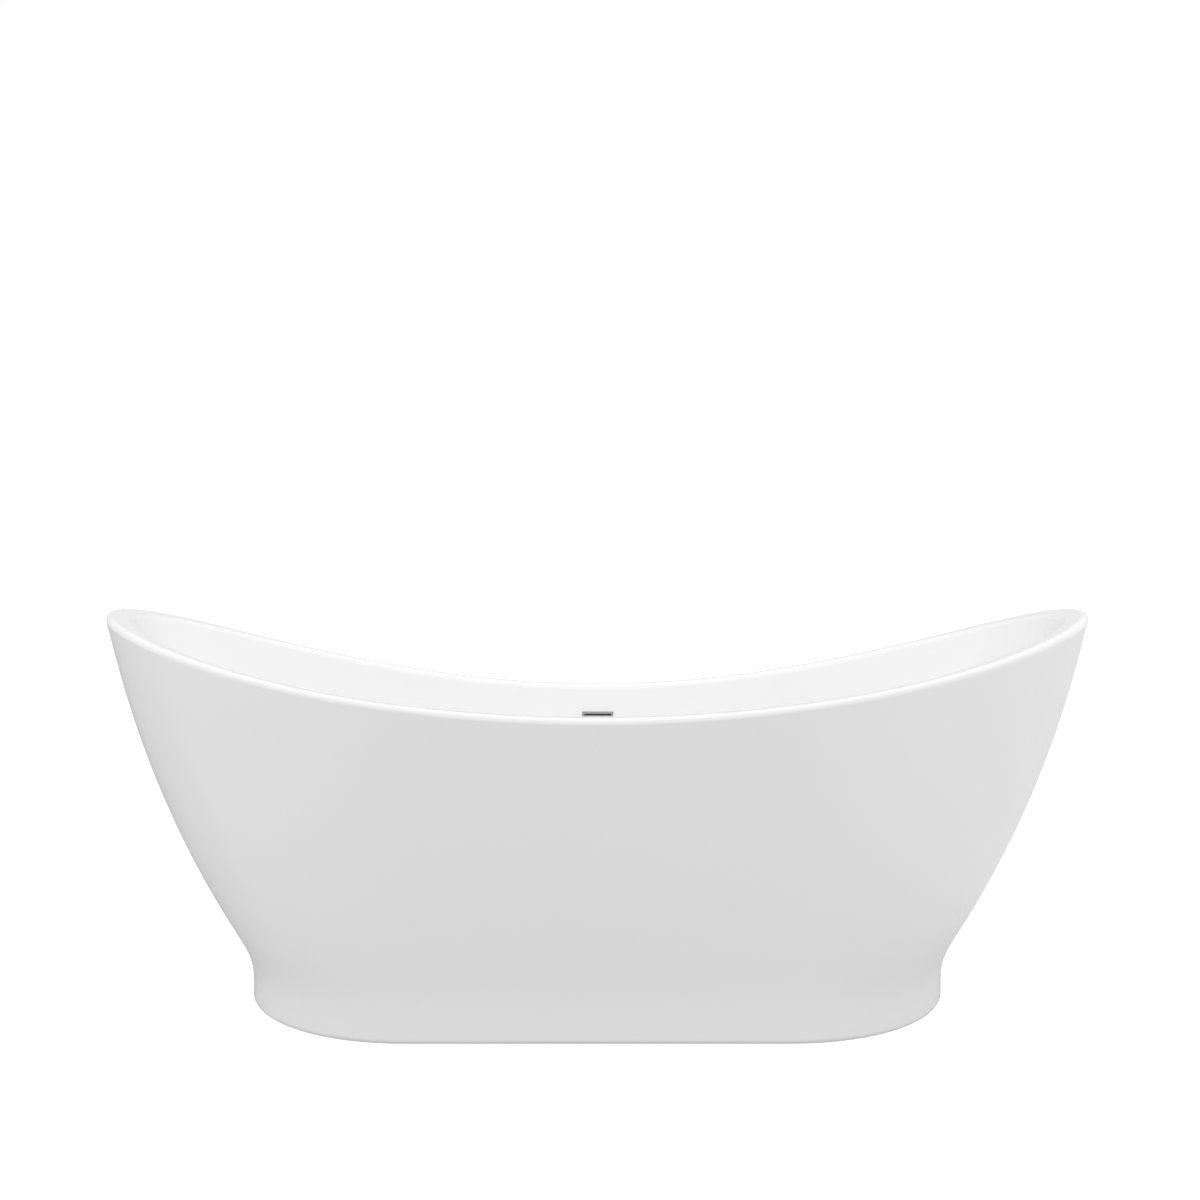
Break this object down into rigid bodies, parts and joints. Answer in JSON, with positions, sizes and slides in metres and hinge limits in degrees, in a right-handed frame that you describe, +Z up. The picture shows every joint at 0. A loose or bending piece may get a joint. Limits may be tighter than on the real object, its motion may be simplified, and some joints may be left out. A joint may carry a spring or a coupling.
{
  "type": "freestanding bathtub",
  "caption": "Double-slipper freestanding bathtub with a swooping rolled rim, a waisted plinth, a slotted overflow and a lift-up waste stopper.",
  "frame": {"origin": "on the floor, under the middle of the tub", "axes": "+X along the tub, +Y towards the side with the overflow, +Z up"},
  "size_m": [1.7992, 0.7888, 0.7015],
  "materials": {
    "acrylic": "gloss",
    "fibreglass": "rough",
    "bonding_paste": "rough",
    "plywood": "sanded",
    "zinc_steel": "satin",
    "black_nylon": "satin",
    "rubber": "matte",
    "chrome": "polished",
    "brass": "satin",
    "white_plastic": "satin",
    "stainless": "bright"
  },
  "bodies": {
    "tub": {"basin_shell": "acrylic", "skirt_shell": "acrylic", "basin_backing": "fibreglass", "skirt_backing": "fibreglass", "rim_bond": "bonding_paste", "floor_board": "plywood", "board_screws": "zinc_steel", "rail_front": "zinc_steel", "rail_back": "zinc_steel", "crossbar_left": "zinc_steel", "crossbar_right": "zinc_steel", "crossbar_left_end": "zinc_steel", "crossbar_right_end": "zinc_steel", "tube_end_caps": "black_nylon", "skirt_brackets": "zinc_steel", "bracket_screws": "zinc_steel", "foot_weld_nuts": "zinc_steel", "foot_lock_nuts": "zinc_steel", "waste_seal": "rubber", "waste_flange": "chrome", "waste_washer": "rubber", "waste_lock_nut": "brass", "waste_tee": "white_plastic", "outlet_pipe": "white_plastic", "outlet_seal": "rubber", "outlet_nut": "white_plastic", "cartridge_barrel": "brass", "cartridge_cap": "brass", "cartridge_spring": "stainless", "overflow_trim": "chrome", "overflow_gasket": "rubber", "overflow_box": "white_plastic", "overflow_hose": "white_plastic", "hose_clamp_upper": "stainless", "hose_clamp_lower": "stainless"},
    "stopper": {"stopper_cap": "chrome", "stopper_seal": "rubber", "stopper_stem": "brass"},
    "foot_1": {"foot_1_pad": "black_nylon", "foot_1_stud": "zinc_steel"},
    "foot_2": {"foot_2_pad": "black_nylon", "foot_2_stud": "zinc_steel"},
    "foot_3": {"foot_3_pad": "black_nylon", "foot_3_stud": "zinc_steel"},
    "foot_4": {"foot_4_pad": "black_nylon", "foot_4_stud": "zinc_steel"},
    "foot_5": {"foot_5_pad": "black_nylon", "foot_5_stud": "zinc_steel"},
    "foot_6": {"foot_6_pad": "black_nylon", "foot_6_stud": "zinc_steel"}
  },
  "joints": [
    {"name": "stopper_lift", "type": "slide", "parent": "tub", "child": "stopper", "axis": [0, 0, 1], "range_m": [-0.0088, 0], "deforming": ["cartridge_spring"]},
    {"name": "foot_1_height", "type": "slide", "parent": "tub", "child": "foot_1", "axis": [0, 0, -1], "range_m": [-0.004, 0.016]},
    {"name": "foot_2_height", "type": "slide", "parent": "tub", "child": "foot_2", "axis": [0, 0, -1], "range_m": [-0.004, 0.016]},
    {"name": "foot_3_height", "type": "slide", "parent": "tub", "child": "foot_3", "axis": [0, 0, -1], "range_m": [-0.004, 0.016]},
    {"name": "foot_4_height", "type": "slide", "parent": "tub", "child": "foot_4", "axis": [0, 0, -1], "range_m": [-0.004, 0.016]},
    {"name": "foot_5_height", "type": "slide", "parent": "tub", "child": "foot_5", "axis": [0, 0, -1], "range_m": [-0.004, 0.016]},
    {"name": "foot_6_height", "type": "slide", "parent": "tub", "child": "foot_6", "axis": [0, 0, -1], "range_m": [-0.004, 0.016]}
  ]
}
